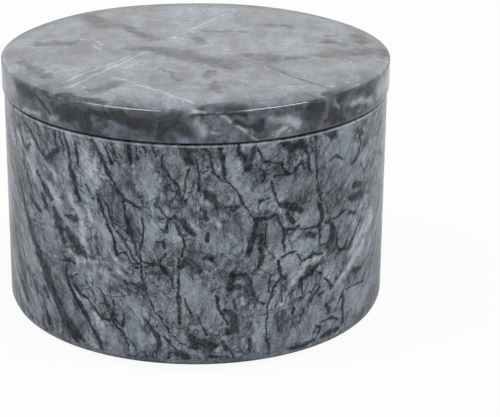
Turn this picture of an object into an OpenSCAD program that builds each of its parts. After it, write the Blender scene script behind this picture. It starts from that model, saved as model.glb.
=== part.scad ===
// Salt cellar turned from dark veined marble, with a plain lift-off lid of the same stone.
// The pot is a thick-walled cylinder with a coved hollow, a flat ground rim and a soft round
// under its outer edge. The lid lies on the rim, and a turned register under it drops into the
// mouth with a little play, so that the lid stays centred, turns freely and lifts straight off.
// Millimetres, +Z up. The origin is on the table, under the middle of the pot.

/* [Overall] */
// Diameter of the lid, the widest piece
lid_d = 101.6; // [70:0.1:140]
// Height from the table to the top of the closed lid
total_h = 69.85; // [50:0.05:110]

/* [Pot] */
// How far the lid's edge stands out past the pot's rim
lid_overhang = 0.5; // [0:0.1:3]
// How much smaller the pot's radius is at the base than at the rim
body_taper = 0.2; // [0:0.1:5]
// Thickness of the wall at the rim
wall_t = 8.5; // [6:0.5:16]
// Thickness of the floor under the hollow
floor_t = 9; // [4:0.5:20]
// Radius of the cove between the hollow's wall and its floor
cove_r = 12; // [3:0.5:24]
// Radius of the soft round under the pot's outer edge
base_round = 4.5; // [1:0.5:12]
// Radius of the eased outer edge of the rim
rim_round = 0.8; // [0.3:0.1:2]
// Radius of the eased inner edge of the mouth
mouth_round = 1.2; // [0.8:0.1:3]

/* [Lid] */
// Thickness of the lid above the rim
lid_t = 9.2; // [5:0.1:15]
// Width of the band where the polished top falls away towards its edge
roll_w = 8.5; // [3:0.5:20]
// Slope that the top has reached at its edge, in degrees
roll_angle = 9; // [2:0.5:20]
// Radius of the fine edge between the top and the side
arris_round = 0.6; // [0.3:0.1:1.5]
// Radius of the eased lower edge
lid_lower_round = 1.2; // [0.4:0.1:3]
// Depth of the register that drops into the mouth
register_h = 4; // [2:0.5:10]
// Play all round between the register and the mouth
register_play = 0.75; // [0.3:0.05:2]
// Radius of the register's lower edge
register_round = 1; // [0.3:0.1:1.8]
// Radius of the fillet between the register and the seat face
seat_fillet = 0.6; // [0.2:0.1:0.8]

/* [Foot pads] */
// Number of self-adhesive pads under the base
pad_count = 4; // [3:1:6]
// Diameter of a pad
pad_d = 12; // [6:0.5:20]
// Thickness of a pad
pad_t = 0.8; // [0.5:0.1:3]
// Radius of a pad's lower edge
pad_round = 0.3; // [0.1:0.1:0.4]
// Distance from the edge of the flat base to a pad
pad_margin = 5; // [1:0.5:12]
// Direction of the first pad, in degrees from +X
pad_start = 45; // [0:5:90]

/* [Hidden] */

// Facets of a turned piece in a quick preview, and the points on a round: one every so many
// degrees, and never fewer steps than the least
$fn = 144;
round_step = 7.5;
round_least = 6;

stone_colour = [0.36, 0.39, 0.43];
lid_colour = [0.42, 0.45, 0.48];
pad_colour = [0.13, 0.13, 0.14];

// Heights: the pot stands on its pads, and the lid's seat face lies on the rim
base_z = pad_t;
floor_z = base_z + floor_t;
seam_z = total_h - lid_t;
register_z = seam_z - register_h;

// Radii, worked out from the lid inwards
lid_r = lid_d / 2;
rim_r = lid_r - lid_overhang;
base_r = rim_r - body_taper;
mouth_r = rim_r - wall_t;
register_r = mouth_r - register_play;

// Pads stand in a ring on the flat part of the base
pad_ring_r = base_r - base_round - pad_margin - pad_d / 2;

// Middles of the two outer rounds of the pot, and the lean of the wall that touches both
base_round_at = [base_r - base_round, base_z + base_round];
rim_round_at = [rim_r - rim_round, seam_z - rim_round];
wall_run = rim_round_at - base_round_at;
wall_lean = acos((base_round - rim_round) / norm(wall_run)) - atan2(wall_run.y, wall_run.x);

// The top's falling band is a wide arc that ends on the fine edge, tangent to it
roll_r = (roll_w - arris_round) / sin(roll_angle) + arris_round;
roll_at = [lid_r - roll_w, total_h - roll_r];
arris_at = roll_at + (roll_r - arris_round) * [sin(roll_angle), cos(roll_angle)];

// Points along an arc, with both of its ends
function arc(middle, radius, from, to) =
    let (steps = max(round_least, ceil(abs(to - from) / round_step)))
    [for (i = [0 : steps]) let (a = from + (to - from) * i / steps) middle + radius * [cos(a), sin(a)]];

// Half of the pot's section: base, outer round, wall, rim, mouth, cove and floor
function pot_outline() = concat(
    [[0, base_z]],
    arc(base_round_at, base_round, -90, -wall_lean),
    arc(rim_round_at, rim_round, -wall_lean, 90),
    arc([mouth_r + mouth_round, seam_z - mouth_round], mouth_round, 90, 180),
    arc([mouth_r - cove_r, floor_z + cove_r], cove_r, 0, -90),
    [[0, floor_z]]
);

// Half of the lid's section: register, fillet, seat face, lower edge, side, fine edge and top
function lid_outline() = concat(
    [[0, register_z]],
    arc([register_r - register_round, register_z + register_round], register_round, -90, 0),
    arc([register_r + seat_fillet, seam_z - seat_fillet], seat_fillet, 180, 90),
    arc([lid_r - lid_lower_round, seam_z + lid_lower_round], lid_lower_round, -90, 0),
    arc(arris_at, arris_round, 0, 90 - roll_angle),
    arc(roll_at, roll_r, 90 - roll_angle, 90),
    [[0, total_h]]
);

// Half of a pad's section: underside, lower edge, side and glued top
function pad_outline() = concat(
    [[0, 0]],
    arc([pad_d / 2 - pad_round, pad_round], pad_round, -90, 0),
    [[pad_d / 2, pad_t], [0, pad_t]]
);

module pot() {
    color(stone_colour)
        rotate_extrude()
            polygon(pot_outline());
}

module lid() {
    color(lid_colour)
        rotate_extrude()
            polygon(lid_outline());
}

module foot_pad(index) {
    color(pad_colour)
        rotate(pad_start + index * 360 / pad_count)
            translate([pad_ring_r, 0, 0])
                rotate_extrude()
                    polygon(pad_outline());
}

pot();
lid();
for (i = [1 : pad_count])
    foot_pad(i - 1);
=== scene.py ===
"""Salt cellar turned from dark veined marble: the looks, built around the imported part.

Metres in the scene, +Z up, the cellar standing on the floor at z = 0 and the viewer on the -Y side.
Patterns in the stone are worked out in millimetres, the size at which a mason would name them.
"""

import logging
import math
from collections.abc import Iterable, Mapping
from dataclasses import dataclass, field
from enum import Enum
from functools import reduce
from typing import Any

import bmesh
import bpy
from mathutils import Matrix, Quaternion, Vector


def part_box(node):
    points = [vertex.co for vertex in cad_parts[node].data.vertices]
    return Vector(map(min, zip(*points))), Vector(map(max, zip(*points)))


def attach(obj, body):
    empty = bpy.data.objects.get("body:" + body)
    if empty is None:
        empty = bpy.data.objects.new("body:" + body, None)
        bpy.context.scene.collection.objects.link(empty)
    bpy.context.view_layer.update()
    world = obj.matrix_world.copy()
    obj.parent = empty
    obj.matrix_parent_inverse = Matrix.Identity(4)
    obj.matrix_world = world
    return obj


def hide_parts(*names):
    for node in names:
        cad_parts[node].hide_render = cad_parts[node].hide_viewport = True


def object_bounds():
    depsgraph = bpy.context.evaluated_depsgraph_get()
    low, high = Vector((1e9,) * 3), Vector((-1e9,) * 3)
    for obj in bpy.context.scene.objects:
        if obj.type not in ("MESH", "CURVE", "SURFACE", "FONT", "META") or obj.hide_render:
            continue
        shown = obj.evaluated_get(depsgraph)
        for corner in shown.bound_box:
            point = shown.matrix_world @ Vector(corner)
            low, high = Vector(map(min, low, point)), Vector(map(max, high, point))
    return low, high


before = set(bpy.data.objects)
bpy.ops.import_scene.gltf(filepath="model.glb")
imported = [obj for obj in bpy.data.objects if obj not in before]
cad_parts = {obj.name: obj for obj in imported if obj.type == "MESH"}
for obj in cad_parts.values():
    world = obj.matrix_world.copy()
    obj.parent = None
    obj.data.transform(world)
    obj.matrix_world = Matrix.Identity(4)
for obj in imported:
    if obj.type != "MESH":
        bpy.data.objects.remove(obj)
cad_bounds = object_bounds()

log = logging.getLogger("salt_cellar")

MM = 0.001
Point = tuple[float, float]
Triple = tuple[float, float, float]
Colour = Triple
Mark = Triple


class Wire:
    """A value socket that does sums: an expression on wires adds its Math nodes to the tree."""

    def __init__(self, tree: "Tree", socket: bpy.types.NodeSocket) -> None:
        """Holds the socket and the tree that it belongs to."""
        self.tree = tree
        self.socket = socket

    def __add__(self, other: "Value") -> "Wire":
        """Sum of the two."""
        return self.tree.math("ADD", self, other)

    __radd__ = __add__

    def __mul__(self, other: "Value") -> "Wire":
        """Product of the two."""
        return self.tree.math("MULTIPLY", self, other)

    __rmul__ = __mul__

    def __sub__(self, other: "Value") -> "Wire":
        """This less the other."""
        return self.tree.math("SUBTRACT", self, other)

    def __rsub__(self, other: "Value") -> "Wire":
        """The other less this."""
        return self.tree.math("SUBTRACT", other, self)

    def __truediv__(self, other: "Value") -> "Wire":
        """This over the other."""
        return self.tree.math("DIVIDE", self, other)

    def __rtruediv__(self, other: "Value") -> "Wire":
        """The other over this."""
        return self.tree.math("DIVIDE", other, self)


Value = float | Wire


class Arrow(Wire):
    """A vector or colour socket, whose sums are Vector Math nodes."""

    def __add__(self, other: "Arrow | Triple") -> "Arrow":
        """Sum of two vectors."""
        return self.tree.vector("ADD", self, other)

    __radd__ = __add__

    def __sub__(self, other: "Arrow | Triple") -> "Arrow":
        """Difference of two vectors."""
        return self.tree.vector("SUBTRACT", self, other)

    def __rsub__(self, other: "Arrow | Triple") -> "Arrow":
        """The other vector less this one."""
        return self.tree.vector("SUBTRACT", other, self)

    def __mul__(self, other: Value) -> "Arrow":
        """The vector made longer by a value."""
        return self.tree.vector("SCALE", self, Scale=other)

    __rmul__ = __mul__

    def along(self, *factors: float) -> "Arrow":
        """The vector with each of its three numbers made longer by a factor of its own."""
        return self.tree.vector("MULTIPLY", self, factors)


class Tree:
    """The node tree of one finish. Every node in it comes from one method."""

    def __init__(self, tree: bpy.types.ShaderNodeTree) -> None:
        """Empties the node tree of a material, a world or a group."""
        self.tree = tree
        self.tree.nodes.clear()

    def node(self, kind: str, settings: Mapping[str, Any] | None = None, /, **sockets: Any) -> bpy.types.Node:
        """Makes a node: its settings first, then the values or links of its sockets.

        Args:
            kind: Blender's name of the node's type.
            settings: Properties of the node. "stops" are a ramp's places and colours.
            sockets: Values or wires by the input's name, or by its number after an underscore.

        Returns:
            The new node.
        """
        made = self.tree.nodes.new(kind)
        for name, value in (settings or {}).items():
            if name == "stops":
                self._set_stops(made.color_ramp, value)
            else:
                setattr(made, name, value)
        for name, value in sockets.items():
            key = int(name[1:]) if name[0] == "_" else name.replace("_", " ")
            socket = made.inputs[key]
            source = value.socket if isinstance(value, Wire) else value
            if isinstance(source, bpy.types.NodeSocket):
                self.tree.links.new(source, socket)
            else:
                socket.default_value = source
        return made

    @staticmethod
    def _set_stops(ramp: bpy.types.ColorRamp, stops: Iterable[tuple[float, Colour]]) -> None:
        """Gives a ramp its places and colours.

        Args:
            ramp: The ramp of a Color Ramp node.
            stops: Each stop's place from 0 to 1 and its colour.
        """
        for number, (place, colour) in enumerate(stops):
            stop = ramp.elements[number] if number < 2 else ramp.elements.new(place)
            stop.position = place
            stop.color = (*colour, 1.0)

    def math(self, operation: str, *values: Value) -> Wire:
        """Adds a Math node and returns its result."""
        numbered = {f"_{number}": value for number, value in enumerate(values)}
        made = self.node("ShaderNodeMath", {"operation": operation}, **numbered)
        return Wire(self, made.outputs[0])

    def most(self, *values: Value) -> Wire:
        """The greatest of two or more values."""
        return reduce(lambda one, other: self.math("MAXIMUM", one, other), values)

    def clamp(self, value: Wire) -> Wire:
        """Keeps a value from 0 to 1."""
        return Wire(self, self.node("ShaderNodeClamp", Value=value).outputs[0])

    def vector(self, operation: str, *values: Any, **named: Any) -> Arrow:
        """Adds a Vector Math node and returns its vector."""
        numbered = {f"_{number}": value for number, value in enumerate(values)}
        made = self.node("ShaderNodeVectorMath", {"operation": operation}, **numbered, **named)
        return Arrow(self, made.outputs["Vector"])

    def measure(self, operation: str, *values: Any) -> Wire:
        """Adds a Vector Math node and returns its number, such as a dot product or a length."""
        numbered = {f"_{number}": value for number, value in enumerate(values)}
        made = self.node("ShaderNodeVectorMath", {"operation": operation}, **numbered)
        return Wire(self, made.outputs["Value"])

    def axes(self, place: Any) -> list[Wire]:
        """The three numbers of a vector."""
        return [Wire(self, socket) for socket in self.node("ShaderNodeSeparateXYZ", _0=place).outputs]

    def channels(self, colour: Any) -> list[Wire]:
        """The red, green and blue of a colour."""
        return [Wire(self, socket) for socket in self.node("ShaderNodeSeparateColor", _0=colour).outputs]

    def between(self, value: Wire, low: Value, high: Value) -> Wire:
        """Rises smoothly from 0 where the value is low to 1 where it is high."""
        made = self.node(
            "ShaderNodeMapRange",
            {"interpolation_type": "SMOOTHSTEP"},
            Value=value,
            From_Min=low,
            From_Max=high,
        )
        return Wire(self, made.outputs["Result"])

    def fade(self, value: Wire, low: Value, high: Value) -> Wire:
        """Falls smoothly from 1 where the value is low to 0 where it is high."""
        return 1 - self.between(value, low, high)

    def blend(self, share: Value, start: Arrow | Colour, end: Arrow | Colour) -> Arrow:
        """Mixes two colours, from start at a share of 0 to end at 1."""
        first, last = ((*colour, 1.0) if isinstance(colour, tuple) else colour for colour in (start, end))
        made = self.node("ShaderNodeMix", {"data_type": "RGBA"}, _0=share, _6=first, _7=last)
        return Arrow(self, made.outputs[2])

    def shaded(self, colour: Arrow | Colour, shade: Value) -> Arrow:
        """A colour made brighter or darker."""
        return self.vector("SCALE", colour, Scale=shade)

    def millimetres(self) -> Arrow:
        """Where on the piece, in millimetres."""
        return Arrow(self, self.node("ShaderNodeTexCoord").outputs["Object"]) * (1 / MM)

    def noise(self, place: Arrow, size: float, detail: float = 2.0, rough: float = 0.5) -> bpy.types.Node:
        """Adds fractal noise: the size of its lumps, its finer octaves, and the share that each adds."""
        return self.node("ShaderNodeTexNoise", Vector=place, Scale=1 / size, Detail=detail, Roughness=rough)

    def grey(self, place: Arrow, size: float, detail: float = 2.0, rough: float = 0.5) -> Wire:
        """Fractal noise as a value from about 0.25 to 0.75."""
        return Wire(self, self.noise(place, size, detail, rough).outputs["Fac"])

    def swing(self, place: Arrow, size: float, detail: float = 2.0, rough: float = 0.5) -> Wire:
        """Fractal noise as a value on either side of 0."""
        return self.grey(place, size, detail, rough) - 0.5

    def drift(self, place: Arrow, size: float, reach: float, detail: float = 2.0) -> Arrow:
        """Moves a place about by noise with lumps of a size, by about the reach at most."""
        shift = Arrow(self, self.noise(place, size, detail).outputs["Color"]) - (0.5, 0.5, 0.5)
        return place + shift * (2 * reach)

    def cells(self, place: Arrow, size: float) -> Wire:
        """Distance to the nearest edge between irregular cells, in cell sizes."""
        settings = {"feature": "DISTANCE_TO_EDGE"}
        made = self.node("ShaderNodeTexVoronoi", settings, Vector=place, Scale=1 / size)
        return Wire(self, made.outputs["Distance"])

    def cell_tone(self, place: Arrow, size: float) -> Wire:
        """One value from 0 to 1 for each of the irregular cells."""
        made = self.node("ShaderNodeTexVoronoi", Vector=place, Scale=1 / size)
        return self.channels(made.outputs["Color"])[0]

    def output(self, shader: bpy.types.NodeSocket, kind: str = "ShaderNodeOutputMaterial") -> None:
        """Links a shader to the tree's output."""
        self.node(kind, Surface=shader)


class Tone(Enum):
    """What a marked vein or patch does to the stone where it runs."""

    DARK = "dark web filling"
    # Also paints the reflection at the two ends of the lid's side
    PALE = "white calcite"
    CALM = "sound stone with no web"


class Face(Enum):
    """Which side of a piece a vein is marked on, and so what its measures are."""

    WALL = "degrees round from the viewer, then height"
    TOP = "distance to the right, then distance away from the viewer"


@dataclass(frozen=True)
class Vein:
    """A vein or patch large enough for the eye to pick out.

    Attributes:
        tone: What it does to the stone.
        route: Points along it: two measures on its face, then half its width there, in millimetres.
        face: The face that it is marked on.
    """

    tone: Tone
    route: tuple[Mark, ...]
    face: Face = Face.WALL


class Stretch(Tree):
    """The node group that measures how far a spot is from one straight stretch of a vein.

    The far end of a long chain of them has the distance from the nearest of all stretches.
    """

    NAME = "vein_stretch"
    INPUTS = (
        ("Nearest", "NodeSocketFloat"),
        ("Spot", "NodeSocketVector"),
        ("Start", "NodeSocketVector"),
        ("Run", "NodeSocketVector"),
        ("Gauge", "NodeSocketVector"),
        ("Width", "NodeSocketFloat"),
        ("Growth", "NodeSocketFloat"),
    )

    def __init__(self) -> None:
        """Makes the group: distance from the stretch in half widths, or the one handed in if it is less."""
        super().__init__(bpy.data.node_groups.new(self.NAME, "ShaderNodeTree"))
        for name, kind in self.INPUTS:
            self.tree.interface.new_socket(name, in_out="INPUT", socket_type=kind)
        self.tree.interface.new_socket("Nearest", in_out="OUTPUT", socket_type="NodeSocketFloat")
        inner = self.node("NodeGroupInput").outputs
        away = self.vector("SUBTRACT", inner["Spot"], inner["Start"])
        share = self.clamp(self.measure("DOT_PRODUCT", away, inner["Gauge"]))
        foot = self.vector("SCALE", inner["Run"], Scale=share)
        width = self.math("MULTIPLY_ADD", share, inner["Growth"], inner["Width"])
        nearest = self.math("MINIMUM", inner["Nearest"], self.measure("DISTANCE", away, foot) / width)
        self.node("NodeGroupOutput", Nearest=nearest)

    def add(self, tree: Tree, nearest: Value, spot: Arrow, start: Vector, end: Vector) -> Wire:
        """Uses the group once.

        Args:
            tree: The tree that it is added to.
            nearest: Distance from the stretches before this one, in half widths.
            spot: Where on the face, in millimetres.
            start: Where the stretch starts, with its half width there as the third number.
            end: Where it ends, with the half width there.

        Returns:
            Distance from this stretch or from the ones before it, whichever is nearer.
        """
        run = (end - start).xy.to_3d()
        made = tree.node(
            "ShaderNodeGroup",
            {"node_tree": self.tree},
            Nearest=nearest,
            Spot=spot,
            Start=start.xy.to_3d(),
            Run=run,
            Gauge=run / run.length_squared,
            Width=start.z,
            Growth=end.z - start.z,
        )
        return Wire(tree, made.outputs[0])


@dataclass(frozen=True)
class Patches:
    """Patches that noise makes, where it rises above a level.

    Attributes:
        size: Size of the noise's lumps, in millimetres.
        low: Level of the noise at which a patch starts.
        high: Level at which it is full.
        detail: Number of finer octaves.
        rough: Share that each finer octave adds.
    """

    size: float
    low: float
    high: float
    detail: float = 2.0
    rough: float = 0.5

    def on(self, tree: Tree, place: Arrow) -> Wire:
        """1 in the patches and 0 between them."""
        return tree.between(tree.grey(place, self.size, self.detail, self.rough), self.low, self.high)


@dataclass(frozen=True)
class Place:
    """Where on a turned piece, in millimetres.

    Attributes:
        point: The place.
        bedded: The place in the stone's own grain.
        away: Its distance beyond the axis, as the viewer sees it.
        height: Its height.
        radius: Its distance from the axis.
    """

    point: Arrow
    bedded: Arrow
    away: Wire
    height: Wire
    radius: Wire


@dataclass(frozen=True)
class MarbleFinish:
    """Dark blue-grey brecciated marble: pale cells parted by an irregular dark web.

    Attributes:
        name: Name of the material.
        veins: The veins large enough for the eye to pick out.
        pale: Colour of the cells.
        dark: Colour of the web.
        white: Colour of the calcite veinlets and flecks.
        olive: Colour of the greenish clouds.
        warm: Colour of the brownish clouds.
        radius: Radius that the degrees of the wall's veins are turned to millimetres at.
        cell: Size of the larger cells, in millimetres.
        crushed: Where the stone is finely broken.
        pull: How many times longer the pattern is along its lineation than across it.
        lean: Direction of the lineation, in degrees below the level, running towards the viewer.
        web: Strength of the dark web.
        traced: Share of the web's broad smears that gives way to the marked veins in front.
        contrast: How far the cells differ in shade.
        grain: Share of the fine grain in that.
        fibre: Size of the fibres, in millimetres.
        wander: How far the marked veins stray from their routes, in millimetres.
        fray: Size of the bends in them, and how much they fray beside that.
        dark_edge: Where a dark vein's edge starts and ends fading, in half widths.
        pale_edge: The same for a white vein.
        calm_edge: The same for a calm patch.
        torn: How much of the dark veins is broken up.
        patch: Strength of the soft dark patches on top.
        clear: Strength of a white vein where it is faintest.
        polish: Roughness of the polished outside.
        hone: Roughness of the ground and honed inside.
        dull: Roughness that dark filling adds.
        shine: Specular level.
        bruising_and_highlight: Share of white in the pale band under the seam, partly bruising and partly a
            painted highlight.
        stretch: Node group that the veins are drawn with.
    """

    name: str
    veins: tuple[Vein, ...]
    pale: Colour
    dark: Colour
    white: Colour
    olive: Colour
    warm: Colour
    radius: float
    cell: float
    crushed: Patches
    pull: float
    lean: float
    web: float
    traced: float
    contrast: float
    grain: float
    fibre: float
    wander: float
    fray: Point
    dark_edge: Point
    torn: float
    clear: float
    polish: float
    shine: float
    bruising_and_highlight: float = 0.0
    dull: float = 0.0
    patch: float = 0.76
    pale_edge: Point = (0.0, 1.8)
    calm_edge: Point = (0.3, 1.6)
    hone: float = 0.42
    stretch: Stretch = field(default_factory=Stretch)

    # How far white veins stray beside dark ones, and the size of the frays, in millimetres
    PALE_WANDER = 0.45
    FRAY_SIZE = 0.7
    # Thinning of the veins by noise: size of its lumps beside the bends, least, and what the noise adds
    PINCH_SIZE = 0.6
    PINCH_LEAST = 0.1
    PINCH_GAIN = 1.8
    # Depth below the wall's face at which the veins marked on it start and end fading, in millimetres
    WALL_DEPTH = (0.6, 1.6)
    # Distance in front of the axis at which the marked veins start to take over, and have done so
    FRONT = (14.0, 26.0)
    # Shares of the web that calm patches and white veins take away
    CALM_HOLD = 0.8
    PALE_HOLD = 0.8
    # Broken stretches of the veins, thicker stretches of the web, and where its lines are well kept
    CRUMBS = Patches(0.8, 0.34, 0.60, 3.0, 0.65)
    SWELLS = Patches(2.6, 0.53, 0.78)
    KEPT = Patches(3.5, 0.40, 0.60)
    # Dark streaks along the lineation, clouds in the patches on top with what they add, and white flecks
    STREAKS = Patches(2.4, 0.55, 0.67, 3.0, 0.6)
    CLOUDS = Patches(3.0, 0.35, 0.65, 3.0)
    CLOUDS_ADD = 0.30
    FLECKS = Patches(1.7, 0.62, 0.74, 3.0, 0.65)
    # Folding, kneading and fraying of the pattern: size and reach in millimetres, and finer octaves
    FOLDS = (30.0, 5.0, 1.0)
    KNEADING = (4.0, 1.5, 2.0)
    FRAYING = (0.9, 0.30, 2.0)
    # Sizes of the two smaller meshes beside the larger cells, and an offset that sets the first apart
    MESH_SIZE = 0.6
    FINE_SIZE = 0.36
    MESH_SHIFT = (7.0, 3.0, 5.0)
    # How ragged the edges of the cells are, from the largest to the smallest, in cell sizes
    RAGGED = (0.16, 0.14, 0.20)
    # Distance from a cell's edge at which the web starts and ends fading, in cell sizes
    LINE_EDGE = (-0.02, 0.045)
    MESH_EDGE = (-0.02, 0.060)
    SHADOW_EDGE = (0.0, 0.22)
    # Strengths of the web's lines, fine mesh, shadows and streaks, and of lines and mesh where kept least
    LINES = 0.85
    FINE = 0.75
    SHADOWS = 0.16
    STREAKY = 0.80
    LINES_LEAST = 0.55
    MESH_LEAST = 0.25
    MESH_MOST = 0.75
    # Radius of the pot's rim and height of the seam on it. Depths are measured inwards from the rim's edge,
    # and each pair of lengths is where a trace starts to show or to fade and where that ends
    RIM = 50.3
    SEAM = 60.65
    # Painted shade in the seam's groove: depths inside the rim's edge where it starts and ends, and its reach
    # above and below the seam
    SEAM_SHADE_STARTS = (0.02, 0.25)
    SEAM_SHADE_ENDS = (1.1, 1.9)
    SEAM_SHADE_REACH = (0.5, 1.1)
    # Heights at which the painted shadow at the foot starts and ends fading
    FOOT_SHADOW_HEIGHTS = (1.0, 2.2)
    # The pale band on the rim's round under the seam, a painted highlight partly over bruising: its drop
    # below the seam, half height, depths where it ends, and its patches
    RIM_BAND_DROP = 0.62
    RIM_BAND_HALF = (0.12, 0.34)
    RIM_BAND_ENDS = (0.5, 0.9)
    RIM_BAND_PATCHES = Patches(2.0, 0.25, 0.60)
    # Where the polish ends on the pot's wall and starts on the lid
    POLISH_ENDS = (0.5, 1.0)
    LID_POLISH = (0.4, 1.0)
    # Shares of painted shadow at the foot, of the brightness that the painted shade takes away, and of pale
    # in honed stone
    FOOT_SHADOW_SHARE = 0.6
    PAINTED_SHADE_DEPTH = 0.75
    HONED_PALE = 0.22
    # Pitch of the turning marks where the stone is only honed, in millimetres, and their height
    PITCH = 0.45
    RING_HEIGHT = 0.25
    # Mean and least shade of the cells, what clouds, fibres, the cells' own tones and calm stone add, and
    # the share of the fibres that calm stone takes away
    MEAN_SHADE = 0.95
    LEAST_SHADE = 0.25
    CLOUD_GAIN = 1.8
    FIBRE_GAIN = 3.0
    TONE_GAIN = 0.30
    CALM_GAIN = 0.15
    CALM_SMOOTH = 0.6
    # Greenish and brownish clouds: levels of the noise at which they start and are full, and their shares
    GREEN = (0.52, 0.66)
    GREEN_SHARE = 0.6
    CALM_GREEN = 0.3
    BROWN = (0.53, 0.66)
    BROWN_SHARE = 0.35
    # Strengths of the flecks and of a white vein where it is clearest, and levels between its two ends
    FLECK_SHARE = 0.55
    CLEAREST = 0.62
    STREAKY_PALE = (-0.16, 0.14)
    # Levels at which the web turns smoky, and its brightness there beside the cells'
    SMOKY = (0.48, 0.76)
    SMOKE = 0.15

    def material(self) -> bpy.types.Material:
        """Builds the stone.

        Returns:
            The material.
        """
        made = bpy.data.materials.new(self.name)
        made.use_nodes = True
        tree = Tree(made.node_tree)
        place = self._place(tree)
        dark, pale, calm = (self._marked(tree, place, tone) for tone in Tone)
        dark = dark * (1 - self.CRUMBS.on(tree, place.bedded.along(1, 1, 0.6)) * self.torn)
        web, tone = self._web(tree, place)
        web = tree.most(web * (1 - calm * self.CALM_HOLD) * (1 - pale * self.PALE_HOLD), dark)
        painted_shade, rim_bruise_and_highlight, polished = self._zones(tree, place)
        honed = 1 - polished
        colour = self._colour(tree, place, tone, web, pale, calm)
        # Paints the band under the seam paler: a painted highlight, partly bruising of the stone
        colour = tree.blend(rim_bruise_and_highlight * self.bruising_and_highlight, colour, self.white)
        colour = tree.blend(honed * self.HONED_PALE, colour, self.pale)
        # Painted shade: the colour is darkened in the seam's groove and at the foot
        colour = tree.shaded(colour, 1 - painted_shade * self.PAINTED_SHADE_DEPTH)
        ring = tree.math("SINE", (place.radius + place.height) * (math.tau / self.PITCH))
        ground = ring * self.RING_HEIGHT + tree.grey(place.point, 0.3)
        relief = tree.grey(place.point, 6.0, 3.0) + ground * honed
        bump = tree.node("ShaderNodeBump", Strength=0.25, Distance=0.02 * MM, Height=relief)
        shader = tree.node(
            "ShaderNodeBsdfPrincipled",
            Base_Color=colour,
            Roughness=polished * (self.polish - self.hone) + dark * self.dull + self.hone,
            IOR=1.5,
            Specular_IOR_Level=self.shine,
            Normal=bump.outputs[0],
        )
        tree.output(shader.outputs[0])
        return made

    def _place(self, tree: Tree) -> Place:
        """Where on the piece, and where in the stone's grain, which is folded and pulled along its lineation.

        Args:
            tree: The finish's tree.

        Returns:
            The place.
        """
        point = tree.millimetres()
        turned = tree.node(
            "ShaderNodeMapping",
            {"vector_type": "POINT"},
            Vector=tree.drift(point, *self.FOLDS),
            Rotation=(math.radians(90 - self.lean), 0, 0),
        )
        bedded = Arrow(tree, turned.outputs[0]).along(1, 1, 1 / self.pull)
        _, away, height = tree.axes(point)
        return Place(point, bedded, away, height, tree.measure("LENGTH", point.along(1, 1, 0)))

    def _zones(self, tree: Tree, place: Place) -> tuple[Wire, Wire, Wire]:
        """The zones that turning, polishing and use have left on the stone, and where shade and a highlight
        are painted on it.

        Args:
            tree: The finish's tree.
            place: Where on the piece.

        Returns:
            1 in the seam's groove and at the foot, where shade is painted, 1 on the pale band below the seam,
            a painted highlight partly over bruising, and 1 where the stone is polished and not only honed.
        """
        depth = self.RIM - place.radius
        above = place.height - self.SEAM
        # Painted shade in the groove of the seam, just inside the rim's edge
        seam = tree.between(depth, *self.SEAM_SHADE_STARTS) * tree.fade(depth, *self.SEAM_SHADE_ENDS)
        seam = seam * tree.fade(tree.math("ABSOLUTE", above), *self.SEAM_SHADE_REACH)
        # Painted shadow at the foot, darker towards the bottom
        foot = tree.fade(place.height, *self.FOOT_SHADOW_HEIGHTS) * self.FOOT_SHADOW_SHARE
        # A pale band on the rim's round below the seam: a painted highlight, partly bruising of the stone
        rim_bruise_and_highlight = tree.fade(tree.math("ABSOLUTE", above + self.RIM_BAND_DROP), *self.RIM_BAND_HALF)
        rim_bruise_and_highlight = rim_bruise_and_highlight * tree.fade(depth, *self.RIM_BAND_ENDS) * self.RIM_BAND_PATCHES.on(tree, place.point)
        wall = tree.fade(depth, *self.POLISH_ENDS)
        return tree.most(seam, foot), rim_bruise_and_highlight, tree.most(wall, tree.between(above, *self.LID_POLISH))

    def _marked(self, tree: Tree, place: Place, tone: Tone) -> Value:
        """Where the marked veins of one tone run.

        Args:
            tree: The finish's tree.
            place: Where on the piece.
            tone: Which of the veins.

        Returns:
            1 in such a vein, with edges that fray, and 0 elsewhere.
        """
        reach = self.wander * (self.PALE_WANDER if tone is Tone.PALE else 1.0)
        bent = tree.drift(place.point, self.fray[0], reach, 1.0)
        across, away, height = tree.axes(tree.drift(bent, self.FRAY_SIZE, reach * self.fray[1], 1.0))
        edge = {Tone.DARK: self.dark_edge, Tone.PALE: self.pale_edge, Tone.CALM: self.calm_edge}[tone]
        pinch = self.PINCH_LEAST + tree.grey(place.point, self.fray[0] * self.PINCH_SIZE) * self.PINCH_GAIN
        around = tree.math("ARCTAN2", across, 0 - away) * self.radius
        found: Value = 0.0
        for face, spot, unit in (
            (Face.WALL, (around, height), math.radians(self.radius)),
            (Face.TOP, (across, away), 1.0),
        ):
            chosen = [vein for vein in self.veins if (vein.tone, vein.face) == (tone, face)]
            if not chosen:
                continue
            nearest = self._nearest(tree, spot, chosen, unit)
            drawn = tree.fade(nearest * pinch, *edge)
            if face is Face.WALL:
                drawn = drawn * tree.fade(self.radius - place.radius, *self.WALL_DEPTH)
            elif tone is Tone.DARK:
                drawn = drawn * (self.patch + self.CLOUDS.on(tree, place.point) * self.CLOUDS_ADD)
            found = tree.most(found, drawn)
        return found

    def _nearest(self, tree: Tree, spot: tuple[Wire, Wire], chosen: Iterable[Vein], unit: float) -> Wire:
        """Distance from the nearest of several veins, in half widths.

        Args:
            tree: The finish's tree.
            spot: Where on the face, in millimetres.
            chosen: The veins, all on that face.
            unit: Millimetres to one of the first measure of their routes.

        Returns:
            The distance.
        """
        point = Arrow(tree, tree.node("ShaderNodeCombineXYZ", X=spot[0], Y=spot[1]).outputs[0])
        nearest: Value = 10.0
        for vein in chosen:
            marks = [Vector((first * unit, second, width)) for first, second, width in vein.route]
            for start, end in zip(marks, marks[1:], strict=False):
                nearest = self.stretch.add(tree, nearest, point, start, end)
        return nearest

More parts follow.
